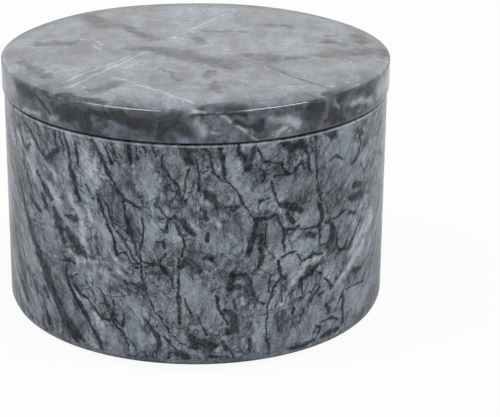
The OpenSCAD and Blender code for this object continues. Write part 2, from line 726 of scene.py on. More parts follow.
    def _web(self, tree: Tree, place: Place) -> tuple[Wire, Wire]:
        """The cells and the dark web between them.

        Args:
            tree: The finish's tree.
            place: Where on the piece.

        Returns:
            1 in the web and 0 in the cells, and a tone from 0 to 1 for each cell.
        """
        kneaded = tree.drift(place.bedded, *self.KNEADING)
        frayed = tree.drift(kneaded, *self.FRAYING)
        ragged = tree.swing(frayed, 0.8, 3.0, 0.65)
        crushed = self.crushed.on(tree, place.bedded)
        swell = self.SWELLS.on(tree, kneaded)
        kept = self.KEPT.on(tree, place.bedded)
        large = tree.cells(frayed, self.cell) + ragged * self.RAGGED[0]
        medium = tree.cells(frayed + self.MESH_SHIFT, self.cell * self.MESH_SIZE) + ragged * self.RAGGED[1]
        small = tree.cells(frayed, self.cell * self.FINE_SIZE) + ragged * self.RAGGED[2]
        line = tree.fade(large, *self.LINE_EDGE) * self.LINES
        line = line * (self.LINES_LEAST + kept * (1 - self.LINES_LEAST))
        mesh = tree.fade(medium, *self.MESH_EDGE)
        mesh = mesh * (self.MESH_LEAST + kept * (self.MESH_MOST - self.MESH_LEAST))
        fine = tree.fade(small, crushed * -0.04, crushed * 0.22 + 0.01) * crushed * self.FINE
        blob = tree.fade(large, swell * 0.04, swell * 0.24 + 0.01)
        shadow = tree.fade(large, *self.SHADOW_EDGE) * self.SHADOWS
        streak = self.STREAKS.on(tree, kneaded.along(1, 1, 0.33)) * self.STREAKY
        front = tree.between(0 - place.away, *self.FRONT) * self.traced
        web = tree.most(line, mesh, fine, tree.most(blob, shadow, streak) * (1 - front))
        return tree.math("MINIMUM", web * self.web, 1.0), tree.cell_tone(frayed, self.cell)

    def _colour(self, tree: Tree, place: Place, tone: Wire, web: Wire, pale: Value, calm: Value) -> Arrow:
        """Colour of the stone.

        Args:
            tree: The finish's tree.
            place: Where on the piece.
            tone: Tone of the cell, from 0 to 1.
            web: 1 in the dark web.
            pale: 1 in the white veins, and in the pale patches that paint the reflection at the lid side's
                ends.
            calm: 1 in sound stone.

        Returns:
            The colour.
        """
        grain = tree.swing(place.point, 0.35, 2.0, 0.8)
        cloud = tree.swing(tree.drift(place.bedded, self.cell, self.cell * 0.35), self.cell * 1.2, 4.0, 0.6)
        fibres = tree.drift(place.bedded, 2.5, 0.6, 1.0).along(1, 1, 0.55)
        flow = tree.swing(fibres, self.fibre, 4.0, 0.7) * (1 - calm * self.CALM_SMOOTH)
        uneven = cloud * self.CLOUD_GAIN + grain * self.grain + flow * self.FIBRE_GAIN
        uneven = uneven + (tone - 0.5) * self.TONE_GAIN
        shade = (self.MEAN_SHADE + uneven * self.contrast) * (1 + calm * self.CALM_GAIN)
        shade = tree.most(shade, self.LEAST_SHADE)
        green, warm, cold = tree.channels(tree.noise(place.bedded, 9.0, 3.0).outputs["Color"])
        green = tree.most(tree.between(green, *self.GREEN) * self.GREEN_SHARE, calm * self.CALM_GREEN)
        body = tree.blend(green, tree.shaded(self.pale, shade), tree.shaded(self.olive, shade))
        brown = tree.between(warm, *self.BROWN) * self.BROWN_SHARE
        body = tree.blend(brown, body, tree.shaded(self.warm, shade))
        streaky = tree.between(flow + grain * 0.7, *self.STREAKY_PALE)
        veined = pale * (self.clear + streaky * (self.CLEAREST - self.clear))
        flecks = self.FLECKS.on(tree, place.bedded) * self.FLECK_SHARE
        body = tree.blend(tree.most(flecks, veined), body, self.white)
        smoky = tree.between(cold + flow * 0.6, *self.SMOKY)
        ink = tree.blend(smoky, self.dark, tuple(level * self.SMOKE for level in self.pale))
        return tree.blend(web, body, ink)


@dataclass(frozen=True)
class RubberFinish:
    """Matt dark rubber with the fine speckle of its filler.

    Attributes:
        name: Name of the material.
        body: Colour of the rubber.
        speck: Colour of the specks.
        specks: Where the specks are.
        rough: Roughness of the rubber.
        speck_rough: Roughness that a speck adds.
    """

    name: str = "pad_rubber"
    body: Colour = (0.014, 0.014, 0.016)
    speck: Colour = (0.035, 0.035, 0.038)
    specks: Patches = Patches(0.25, 0.55, 0.68)
    rough: float = 0.82
    speck_rough: float = 0.08

    def material(self) -> bpy.types.Material:
        """Builds the rubber.

        Returns:
            The material.
        """
        made = bpy.data.materials.new(self.name)
        made.use_nodes = True
        tree = Tree(made.node_tree)
        place = tree.millimetres()
        speck = self.specks.on(tree, place)
        bump = tree.node("ShaderNodeBump", Strength=0.3, Distance=0.03 * MM, Height=tree.grey(place, 0.18))
        shader = tree.node(
            "ShaderNodeBsdfPrincipled",
            Base_Color=tree.blend(speck, self.body, self.speck),
            Roughness=self.rough + speck * self.speck_rough,
            Normal=bump.outputs[0],
        )
        tree.output(shader.outputs[0])
        return made


def ray(degrees: float) -> Vector:
    """A step of length 1 in the section's plane, turned up from the outward direction."""
    angle = math.radians(degrees)
    return Vector((math.cos(angle), 0, math.sin(angle)))


class Section:
    """A half section in the XZ plane, drawn from the axis outwards and back, then spun into a solid."""

    GUARD = 0.3 * MM
    GUARD_SHARE = 0.2

    def __init__(self, radius: float, height: float) -> None:
        """Puts the pen down.

        Args:
            radius: First point's distance from the axis, in metres.
            height: Its height.
        """
        self.bm = bmesh.new()
        self.tip = self.bm.verts.new((radius, 0, height))

    def line(self, radius: float, height: float, steps: int = 1) -> None:
        """Draws a straight stretch, with a short step at each end that keeps the shading of flats true.

        Args:
            radius: Distance of its end from the axis.
            height: Height of its end.
            steps: Number of steps between the short ones.
        """
        start, end = self.tip.co.copy(), Vector((radius, 0, height))
        run = end - start
        inset = min(self.GUARD_SHARE, self.GUARD / run.length)
        shares = [inset + (1 - 2 * inset) * step / steps for step in range(steps + 1)] + [1.0]
        for share in shares:
            grown = bmesh.ops.extrude_vert_indiv(self.bm, verts=[self.tip])
            self.tip = grown["verts"][0]
            self.tip.co = start + run * share

    def arc(self, middle: Point, degrees: float, steps: int) -> None:
        """Turns the pen about a middle, anticlockwise in the section for positive degrees.

        Args:
            middle: Radius and height of the arc's middle.
            degrees: How far it turns.
            steps: Number of steps.
        """
        spun = bmesh.ops.spin(
            self.bm,
            geom=[self.tip],
            cent=(middle[0], 0, middle[1]),
            axis=(0, -1, 0),
            angle=math.radians(degrees),
            steps=steps,
        )
        self.tip = next(e for e in spun["geom_last"] if isinstance(e, bmesh.types.BMVert))

    def solid(self, name: str, steps: int) -> bpy.types.Object:
        """Spins the section about the Z axis.

        Args:
            name: Name of the piece.
            steps: Facets round the piece.

        Returns:
            The piece, closed, with its faces pointing outwards.
        """
        bm = self.bm
        bmesh.ops.spin(
            bm,
            geom=[*bm.verts, *bm.edges],
            cent=(0, 0, 0),
            axis=(0, 0, 1),
            angle=math.tau,
            steps=steps,
            use_merge=True,
        )
        bmesh.ops.remove_doubles(bm, verts=bm.verts, dist=1e-6)
        bmesh.ops.recalc_face_normals(bm, faces=bm.faces)
        for face in bm.faces:
            face.smooth = True
        mesh = bpy.data.meshes.new(name)
        bm.to_mesh(mesh)
        bm.free()
        piece = bpy.data.objects.new(name, mesh)
        bpy.context.scene.collection.objects.link(piece)
        return piece


@dataclass
class Pot:
    """The turned pot: thick wall, coved hollow, ground rim and a soft round under its outer edge.

    Attributes:
        finish: The stone.
        body: CAD body that it rides on.
        facets: Facets round it.
        wall: Thickness of the wall.
        floor: Thickness of the floor.
        cove: Radius between the hollow's wall and its floor.
        base_round: Radius under the outer edge.
        rim_round: Radius of the rim's outer edge.
        mouth_round: Radius of the mouth's inner edge.
        taper: How much smaller the base's radius is than the rim's.
    """

    finish: MarbleFinish
    body: str = "pot_body"
    facets: int = 320
    wall: float = 8.5 * MM
    floor: float = 9.0 * MM
    cove: float = 12.0 * MM
    base_round: float = 4.5 * MM
    rim_round: float = 0.8 * MM
    mouth_round: float = 1.2 * MM
    taper: float = 0.2 * MM

    def build(self) -> bpy.types.Object:
        """Turns the pot from its section and dresses it.

        Returns:
            The piece that stands for the CAD node.
        """
        low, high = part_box("pot")
        rim, base, mouth = high.x, high.x - self.taper, high.x - self.wall
        lean = math.degrees(math.atan2(self.taper, high.z - low.z))
        shoulder = (rim - self.rim_round, high.z - self.rim_round)
        top = Vector((shoulder[0], 0, shoulder[1])) + ray(-lean) * self.rim_round
        floor = low.z + self.floor
        section = Section(0, low.z)
        section.line(base - self.base_round, low.z, steps=6)
        section.arc((base - self.base_round, low.z + self.base_round), 90 - lean, steps=12)
        section.line(top.x, top.z, steps=12)
        section.arc(shoulder, 90 + lean, steps=8)
        section.line(mouth + self.mouth_round, high.z, steps=2)
        section.arc((mouth + self.mouth_round, high.z - self.mouth_round), 90, steps=8)
        section.line(mouth, floor + self.cove, steps=6)
        section.arc((mouth - self.cove, floor + self.cove), -90, steps=16)
        section.line(0, floor, steps=6)
        piece = section.solid("pot_turned", self.facets)
        piece.data.materials.append(self.finish.material())
        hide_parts("pot")
        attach(piece, self.body)
        return piece


@dataclass
class Lid:
    """The lid: a disc that falls away a little towards its fine edge, with a register under it.

    Attributes:
        finish: The stone.
        body: CAD body that it rides on.
        facets: Facets round it.
        thick: Thickness above the rim.
        roll: Width of the band where the top falls away.
        roll_angle: Slope of that band at its edge, in degrees.
        arris: Radius of the fine edge.
        facet_rounds: Radii of the lower and the upper corner of the flat that the polish leaves on it.
        facet_angle: Slope at which the lower corner ends, in degrees.
        dips: Where the edge was leaned on in polishing: degrees from the viewer, half width, depth.
        dip_width: Width of the band that dips.
        lower_round: Radius of the eased lower edge.
        register_in: Distance of the register's side from the lid's edge.
        register_round: Radius of the register's lower edge.
        fillet: Radius between the register and the seat face.
    """

    finish: MarbleFinish
    body: str = "lid_body"
    facets: int = 320
    thick: float = 9.2 * MM
    roll: float = 8.5 * MM
    roll_angle: float = 9.0
    arris: float = 0.6 * MM
    facet_rounds: Point = (0.15 * MM, 0.40 * MM)
    facet_angle: float = 45.0
    dips: tuple[Mark, ...] = (
        (-39.0, 9.0, 0.24 * MM),
        (-22.0, 5.0, 0.10 * MM),
        (7.0, 7.0, 0.28 * MM),
        (42.0, 6.0, 0.22 * MM),
        (80.0, 11.0, 0.12 * MM),
        (128.0, 16.0, 0.20 * MM),
        (187.0, 12.0, 0.15 * MM),
        (241.0, 14.0, 0.22 * MM),
    )
    dip_width: float = 5.0 * MM
    lower_round: float = 1.2 * MM
    register_in: float = 9.75 * MM
    register_round: float = 1.0 * MM
    fillet: float = 0.6 * MM

    def build(self) -> bpy.types.Object:
        """Turns the lid from its section and dresses it.

        Returns:
            The piece that stands for the CAD node.
        """
        low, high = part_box("lid")
        edge, seam = high.x, high.z - self.thick
        register = edge - self.register_in
        sweep = (self.roll - self.arris) / math.sin(math.radians(self.roll_angle)) + self.arris
        roll_middle = Vector((edge - self.roll, 0, high.z - sweep))
        arris_middle = roll_middle + ray(90 - self.roll_angle) * (sweep - self.arris)
        section = Section(0, low.z)
        section.line(register - self.register_round, low.z, steps=6)
        section.arc((register - self.register_round, low.z + self.register_round), 90, steps=8)
        section.line(register, seam - self.fillet)
        section.arc((register + self.fillet, seam - self.fillet), -90, steps=6)
        section.line(edge - self.lower_round, seam, steps=3)
        section.arc((edge - self.lower_round, seam + self.lower_round), 90, steps=8)
        section.line(edge, arris_middle.z, steps=4)
        self._draw_arris(section, arris_middle)
        section.arc((roll_middle.x, roll_middle.z), self.roll_angle, steps=10)
        section.line(0, high.z, steps=8)
        piece = section.solid("lid_turned", self.facets)
        self._lean_on(piece.data, edge, arris_middle.z)
        piece.data.materials.append(self.finish.material())
        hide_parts("lid")
        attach(piece, self.body)
        return piece

    def _draw_arris(self, section: Section, middle: Vector) -> None:
        """Draws the fine edge: a narrow flat between two tight rounds, where a plain round would be.

        Args:
            section: The lid's section, at the top of its side.
            middle: Middle of the plain round that the flat is tangent to.
        """
        last = 90.0 - self.roll_angle
        spans = ((0.0, self.facet_angle), (self.facet_angle, last))
        for (start, end), tight in zip(spans, self.facet_rounds, strict=True):
            half = (end - start) / 2
            corner = middle + ray(start + half) * self.arris / math.cos(math.radians(half))
            centre = corner + (middle - corner) * tight / self.arris
            begin = centre + ray(start) * tight
            section.line(begin.x, begin.z)
            section.arc((centre.x, centre.z), end - start, steps=4)
        foot = middle + ray(last) * self.arris
        section.line(foot.x, foot.z)

    def _lean_on(self, mesh: bpy.types.Mesh, edge: float, foot: float) -> None:
        """Lets the polished edge dip a little in places, as a hand-held polisher leaves it.

        Args:
            mesh: The lid's mesh.
            edge: Radius of the lid.
            foot: Height that the fine edge starts from.
        """
        for vertex in mesh.vertices:
            place = vertex.co
            share = min(1.0, (place.xy.length - edge + self.dip_width) / self.dip_width)
            if share <= 0 or place.z < foot:
                continue
            round_ = math.degrees(math.atan2(place.x, -place.y))
            for middle, half, depth in self.dips:
                away = abs((round_ - middle + 180) % 360 - 180) / half
                if away < 2:
                    place.z -= depth * share**2 * math.cos(away * math.pi / 4) ** 2
            place.z = max(place.z, foot)


@dataclass
class FootPads:
    """The rubber pads under the base. Their CAD nodes have the right shape and get the rubber's finish.

    Attributes:
        finish: The rubber.
    """

    finish: RubberFinish = field(default_factory=RubberFinish)

    def build(self) -> list[bpy.types.Object]:
        """Dresses every foot pad of the frame.

        Returns:
            The pads.
        """
        rubber = self.finish.material()
        pads = [node for name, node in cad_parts.items() if name.startswith("foot_pad")]
        for pad in pads:
            pad.data.materials.clear()
            pad.data.materials.append(rubber)
        return pads


@dataclass(frozen=True)
class Softbox:
    """A wide soft lamp aimed at the cellar.

    Attributes:
        name: Name of the lamp.
        azimuth: Degrees round from the viewer, to the right.
        elevation: Degrees above the floor.
        turn: Degrees that its long side is turned from the level.
        width: Width of its face.
        height: Height of its face.
        watts: Its power.
        distance: Distance from the cellar.
    """

    name: str
    azimuth: float
    elevation: float
    turn: float
    width: float
    height: float
    watts: float
    distance: float = 0.95

    def build(self, aim: Vector) -> None:
        """Hangs the lamp.

        Args:
            aim: Point that it faces.
        """
        round_, rise = math.radians(self.azimuth), math.radians(self.elevation)
        way = Vector((math.sin(round_) * math.cos(rise), -math.cos(round_) * math.cos(rise), math.sin(rise)))
        lamp = bpy.data.lights.new(self.name, "AREA")
        lamp.shape = "RECTANGLE"
        lamp.size, lamp.size_y = self.width, self.height
        lamp.energy = self.watts
        holder = bpy.data.objects.new(self.name, lamp)
        holder.location = aim + way * self.distance
        holder.rotation_mode = "QUATERNION"
        turned = Quaternion((0, 0, 1), math.radians(self.turn))
        holder.rotation_quaternion = way.to_track_quat("Z", "Y") @ turned
        bpy.context.scene.collection.objects.link(holder)


@dataclass
class Studio:
    """A plain pale floor, a bright horizon that dims overhead, and two soft lamps above the sides.

    Attributes:
        floor_size: Width of the floor.
        floor_paint: Grey of the floor's paint.
        floor_seen: Share of plain white that the camera sees on the floor, over its lit paint.
        horizon: Brightness of the world at the horizon.
        dimming: Height above the horizon, as a sine, and the world's share of its brightness there.
        lamps: The soft lamps.
    """

    floor_size: float = 6.0
    floor_paint: float = 0.66
    floor_seen: float = 0.94
    horizon: float = 1.47
    dimming: tuple[Point, ...] = (
        (0.0, 0.42),
        (0.10, 0.55),
        (0.20, 0.76),
        (0.30, 0.97),
        (0.34, 1.0),
        (0.48, 0.96),
        (0.56, 0.74),
        (0.62, 0.34),
        (0.69, 0.15),
        (1.0, 0.10),
    )
    lamps: tuple[Softbox, ...] = (
        Softbox("softbox_left", -70, 60, 25, 0.60, 0.15, 3.6),
        Softbox("softbox_right", 68, 60, -25, 0.56, 0.15, 3.2),
    )

    def build(self) -> None:
        """Makes the floor, the world and the lamps."""
        self._floor()
        self._world()
        low, high = cad_bounds
        for lamp in self.lamps:
            lamp.build((low + high) / 2)

    def _floor(self) -> None:
        """A pale floor. The camera sees it near white, and it keeps the shadow."""
        bm = bmesh.new()
        bmesh.ops.create_grid(bm, x_segments=1, y_segments=1, size=self.floor_size / 2)
        mesh = bpy.data.meshes.new("floor")
        bm.to_mesh(mesh)
        bm.free()
        floor = bpy.data.objects.new("floor", mesh)
        bpy.context.scene.collection.objects.link(floor)
        made = bpy.data.materials.new("floor_white")
        made.use_nodes = True
        tree = Tree(made.node_tree)
        path = tree.node("ShaderNodeLightPath")
        seen = Wire(tree, path.outputs["Is Camera Ray"]) * self.floor_seen
        grey = (self.floor_paint,) * 3
        paint = tree.node("ShaderNodeBsdfDiffuse", Color=(*grey, 1))
        glow = tree.node("ShaderNodeEmission", Color=(1, 1, 1, 1), Strength=1.0)
        mixed = tree.node("ShaderNodeMixShader", _0=seen, _1=paint.outputs[0], _2=glow.outputs[0])
        tree.output(mixed.outputs[0])
        mesh.materials.append(made)

    def _world(self) -> None:
        """Bright at the horizon and dimmer overhead, and plain white to the camera."""
        world = bpy.data.worlds.new("studio")
        bpy.context.scene.world = world
        world.use_nodes = True
        tree = Tree(world.node_tree)
        way = tree.node("ShaderNodeTexCoord").outputs["Generated"]
        rise = tree.axes(way)[2]
        stops = [(height, (share,) * 3) for height, share in self.dimming]
        ramp = tree.node("ShaderNodeValToRGB", {"stops": stops}, Fac=rise)
        seen = tree.node("ShaderNodeLightPath").outputs["Is Camera Ray"]
        sky = tree.node("ShaderNodeBackground", Color=ramp.outputs[0], Strength=self.horizon)
        white = tree.node("ShaderNodeBackground", Color=(1, 1, 1, 1), Strength=1.0)
        mixed = tree.node("ShaderNodeMixShader", _0=seen, _1=sky.outputs[0], _2=white.outputs[0])
        tree.output(mixed.outputs[0], "ShaderNodeOutputWorld")


@dataclass(frozen=True)
class Viewpoint:
    """The camera of the photograph, found from the cellar's outline.

    Attributes:
        distance: Distance from the middle of the cellar.
        elevation: Degrees above the level.
        middle: Height of the point that the distance is measured from.
        aim: Point at the middle of the picture.
        lens: Focal length in millimetres on a sensor of 36 mm.
        roll: Degrees that the camera is turned about its own line of sight.
    """

    distance: float = 0.53634
    elevation: float = 19.61
    middle: float = 0.035
    aim: Triple = (0.014506, 0.0, 0.025336)
    lens: float = 143.89
    roll: float = 0.52

    def build(self) -> None:
        """Sets up the camera."""
        camera = bpy.data.cameras.new("photograph")
        camera.lens = self.lens
        camera.sensor_width = 36.0
        camera.clip_start, camera.clip_end = 0.05, 20.0
        holder = bpy.data.objects.new("photograph", camera)
        rise = math.radians(self.elevation)
        place = Vector((0, -self.distance * math.cos(rise), self.middle + self.distance * math.sin(rise)))
        sight = (Vector(self.aim) - place).to_track_quat("-Z", "Y")
        holder.location = place
        holder.rotation_mode = "QUATERNION"
        holder.rotation_quaternion = sight @ Quaternion((0, 0, 1), math.radians(self.roll))
        bpy.context.scene.collection.objects.link(holder)
        bpy.context.scene.camera = holder


def veins(tone: Tone, *routes: tuple[Mark, ...], face: Face = Face.WALL) -> tuple[Vein, ...]:
    """Marks several veins of one tone on one face."""
    return tuple(Vein(tone, route, face) for route in routes)


# Left flank: the long thick vein and the dark masses above it
LEFT_FLANK = veins(
    Tone.DARK,
    ((-64, 42, 0.6), (-60, 34, 1.2), (-56, 28, 1.6), (-52, 23, 2.2), (-48, 18, 1.9)),
    ((-48, 18, 1.9), (-45, 14, 2.0), (-42, 10, 2.2), (-39, 7.5, 1.5), (-35, 5, 1.0)),
    ((-63, 56.5, 0.9), (-61, 54.5, 0.6), (-60, 51.8, 0.8), (-57.5, 51.5, 0.6), (-56, 53.5, 0.4)),
    ((-58.5, 58, 0.6), (-55, 56.5, 0.7), (-52.5, 54.5, 0.7), (-50, 52.5, 0.6), (-48, 51.3, 0.8)),
    ((-48, 51.3, 0.8), (-45.5, 52.5, 1.1), (-43, 54.7, 1.0), (-44, 59.5, 0.5)),
    ((-52.5, 46.8, 0.9), (-50.5, 45, 0.8), (-48.5, 43, 1.3), (-46, 41, 1.0)),
    ((-50.5, 41.5, 0.9), (-48.5, 38.5, 1.5)),
    ((-45, 38.5, 1.0), (-43.5, 36, 1.8), (-42.5, 32.5, 1.0), (-41, 30.5, 0.8)),
    ((-40.5, 38, 0.5), (-37, 37.5, 1.3)),
    ((-40, 34, 1.0), (-37, 31.5, 1.9), (-35.5, 29.5, 1.2), (-33, 28.2, 0.7)),
    ((-56.5, 39, 0.8), (-53.5, 37, 1.3), (-51.5, 36.3, 0.6)),
    ((-58.5, 44.5, 0.8), (-56.5, 42, 0.8)),
    ((-40.5, 60, 0.5), (-38.5, 55, 0.7), (-38, 50.5, 0.6), (-36.5, 47, 1.2), (-35, 43, 0.6)),
    ((-36, 58, 0.5), (-35.5, 54, 0.7), (-35.3, 51.5, 0.5)),
    ((-42, 60, 0.3), (-40.3, 55, 0.3)),
    ((-40.5, 24.5, 0.5), (-41, 21.5, 0.5), (-38.5, 21.5, 0.4), (-36.5, 23, 0.3)),
    ((-42, 25.5, 0.4), (-39.5, 26, 0.7), (-37, 25.5, 0.4)),
    ((-40.5, 21.5, 0.4), (-39, 18, 0.7), (-36, 15, 0.8), (-33.5, 12, 0.8), (-32, 10, 0.7)),
    ((-32, 10, 0.7), (-30, 7.5, 0.8), (-28.5, 4, 0.9)),
    ((-38, 20, 0.8), (-35.5, 18, 0.6), (-33, 17, 0.4), (-30.5, 14.5, 0.5), (-28, 12.5, 0.4)),
    ((-40, 6, 0.8), (-37.5, 4.5, 0.9)),
    ((-50, 9, 1.0), (-49, 6.5, 0.9)),
    ((-60, 19, 0.5), (-56, 15.5, 0.5)),
    ((-66, 13.5, 1.2), (-61, 9, 1.2)),
    ((-51, 16, 0.8), (-48.5, 14, 0.6)),
    ((-68, 47, 0.4), (-62, 38, 0.4)),
    ((-70, 33, 0.4), (-64, 24, 0.5), (-58, 14, 0.4)),
)

# Left of the middle
LEFT_OF_MIDDLE = veins(
    Tone.DARK,
    ((-33, 47.5, 0.4), (-31, 45.5, 0.4), (-30, 44.3, 0.3)),
    ((-30.5, 59.5, 0.6), (-28, 56.5, 0.7), (-25.5, 52.5, 0.7), (-23.5, 49, 0.8), (-21, 45.8, 0.6)),
    ((-26.5, 59, 0.3), (-24.5, 54.5, 0.6)),
    ((-24.5, 60, 0.4), (-22.5, 56, 0.4)),
    ((-19, 60, 0.8), (-18.7, 57.5, 1.0), (-18.3, 55, 0.5)),
    ((-17, 59.5, 0.3), (-16, 56, 0.3)),
    ((-15, 60, 0.5), (-14, 58, 0.3)),
    ((-21, 45.8, 0.6), (-17.5, 44, 0.5), (-15.5, 43.5, 0.5)),
    ((-28.5, 44.5, 0.5), (-27.3, 41, 0.6), (-25.7, 38, 0.6), (-24.3, 35.5, 0.6), (-22.8, 30.5, 0.7)),
    ((-26.3, 44, 0.3), (-24.5, 40, 0.4), (-23.5, 37.5, 0.4)),
    ((-21, 45.8, 0.4), (-20.5, 41.5, 0.4), (-19.5, 39, 0.8), (-18.5, 36.5, 0.8), (-17.5, 33, 0.4)),
    ((-17.5, 33, 0.4), (-16, 30, 0.3), (-15.8, 26.5, 0.3)),
    ((-22.8, 36.5, 0.5), (-20.5, 34.5, 0.4), (-18, 30, 0.4), (-16.5, 28.5, 0.4)),
    ((-22.5, 31, 0.5), (-20.5, 31.5, 0.3), (-19, 29, 0.3)),
    ((-15, 41, 0.3), (-15, 36, 0.3), (-16.3, 33, 0.3), (-15.5, 29.5, 0.4), (-12.5, 29, 0.5)),
    ((-12, 60, 0.5), (-11.3, 57, 0.3)),
    ((-9.5, 58, 0.3), (-9, 54.5, 0.6), (-6.5, 51.5, 0.4), (-5, 49.5, 0.5), (-4, 45.5, 0.4)),
    ((-2, 54.5, 0.3), (-3, 51, 0.3), (-3.5, 47.5, 0.3), (-4.3, 45.3, 0.3)),
    ((-11.5, 45, 0.6), (-9.5, 43, 0.5), (-7.5, 41, 0.5), (-6, 42, 0.8), (-4, 41, 1.1)),
    ((-4, 41, 1.1), (-2.5, 39, 1.2), (-1, 37.5, 0.8)),
    ((-7.5, 41, 0.4), (-8.5, 38, 0.6), (-10, 38.5, 0.3)),
    ((-5.5, 40, 0.4), (-4.7, 37.5, 0.5), (-3, 37, 0.5)),
    ((-3.8, 37, 0.3), (-3.3, 34, 0.4), (-4.5, 31.5, 0.4)),
    ((-11.5, 35, 0.3), (-9.5, 35.5, 0.8), (-9, 33.5, 0.5)),
    ((-8.5, 32, 0.3), (-10.5, 29.5, 0.4), (-8.5, 27.3, 0.8), (-7, 25.5, 0.8), (-6.5, 23, 0.4)),
    ((-5, 31, 0.4), (-4.8, 27, 0.3), (-5.2, 22, 0.5), (-4.8, 18, 0.9), (-4.5, 13.5, 0.5)),
    ((-3.5, 20, 0.3), (-1.5, 16.5, 0.5)),
    ((-18.5, 23.5, 0.3), (-16.5, 23, 1.0), (-15, 22.5, 0.9)),
    ((-15.7, 26, 0.4), (-14.7, 22, 0.4), (-13, 18.5, 0.4), (-11, 15.5, 0.4), (-7.5, 11, 0.3)),
    ((-14.5, 14, 0.4), (-12.5, 11.5, 0.7), (-11, 9.5, 0.7), (-10.5, 7.5, 0.8), (-11.5, 5.5, 0.8)),
    ((-9, 9.5, 0.4), (-6.5, 7, 0.4), (-5, 5, 0.4)),
    ((-7, 10, 0.3), (-3, 7.5, 0.3)),
    ((-24.5, 18, 0.5), (-24.5, 14.5, 0.7), (-25.5, 12.5, 0.5), (-28, 12.5, 0.3)),
    ((-27.5, 18, 0.4), (-26, 16, 0.5)),
    ((-25, 12.5, 0.5), (-22.5, 10.5, 0.5), (-20.5, 7.5, 0.3), (-20, 5, 0.3)),
    ((-24, 13, 0.4), (-21.5, 11.5, 0.4), (-20.8, 15, 0.3)),
    ((-7.5, 5.5, 0.4), (-8, 4, 0.6)),
    ((-5.5, 5.5, 1.1), (-3, 4.5, 1.2)),
    ((-1.5, 10, 1.6), (-0.5, 8, 1.7)),
)

# Middle
MIDDLE = veins(
    Tone.DARK,
    ((-3.2, 60, 1.2), (-2, 57, 1.7), (-0.8, 55.5, 0.7)),
    ((0, 57, 0.4), (0.6, 52, 0.4), (1, 49, 0.7)),
    ((2, 59.5, 0.7), (4, 57.5, 0.5), (4.5, 53.5, 0.4), (7.5, 51, 0.5)),
    ((2.5, 48.5, 1.1), (4.5, 47, 1.4), (5.8, 44.5, 1.0)),
    ((2.5, 43.5, 0.6), (3, 41.5, 0.6)),
    ((6.5, 60, 0.9), (7.5, 55, 0.7), (8, 51, 0.5), (10, 50, 0.3), (12, 47.5, 0.4)),
    ((12, 47.5, 0.4), (12.7, 45.5, 0.4), (14, 43.5, 0.3), (16, 41, 0.4)),
    ((8.3, 44.3, 0.4), (12, 44.3, 0.4), (10.5, 43.3, 0.7), (9.5, 43.5, 0.4)),
    ((11.5, 60, 0.5), (12.5, 57.5, 1.4), (14.5, 54.5, 1.5)),
    ((16.2, 59, 0.7), (15.2, 55.5, 0.9)),
    ((-4.5, 29, 0.9), (-2.5, 30.5, 1.5), (-1, 29.3, 1.5), (1, 27.5, 0.7)),
    ((2.3, 31, 0.9), (4.3, 31, 0.8)),
    ((3, 37.5, 0.5), (3.2, 35.5, 0.5)),
    ((10, 26.5, 0.9), (9.7, 23, 1.7), (12, 23, 1.2)),
    ((10.5, 26.5, 0.6), (14, 26.3, 0.6), (15.7, 24, 0.5), (16.2, 21, 0.4), (17.5, 18.7, 0.4)),
    ((17.5, 18.7, 0.4), (20, 17.6, 0.4)),
    ((5.5, 21, 0.3), (6.3, 17.5, 0.6), (8, 14.5, 0.5), (9, 13, 0.5)),
    ((8, 16.8, 0.7), (10, 16.5, 1.1), (10.8, 14.5, 1.5), (11, 11.5, 1.5), (9, 11.2, 1.1)),
    ((10.5, 20, 0.3), (11.2, 17, 0.5)),
    ((0.5, 15, 0.3), (3, 10.5, 0.4)),
    ((1, 8.5, 1.5), (4, 7, 1.5), (6, 7.5, 0.8)),
    ((7.5, 8.5, 0.6), (8.5, 6, 0.6)),
    ((4, 4.5, 0.6), (7, 4, 0.5)),
    ((9.5, 6.5, 0.5), (11, 4, 0.5)),
    ((15.5, 8.5, 0.8), (15.3, 5, 0.6)),
)

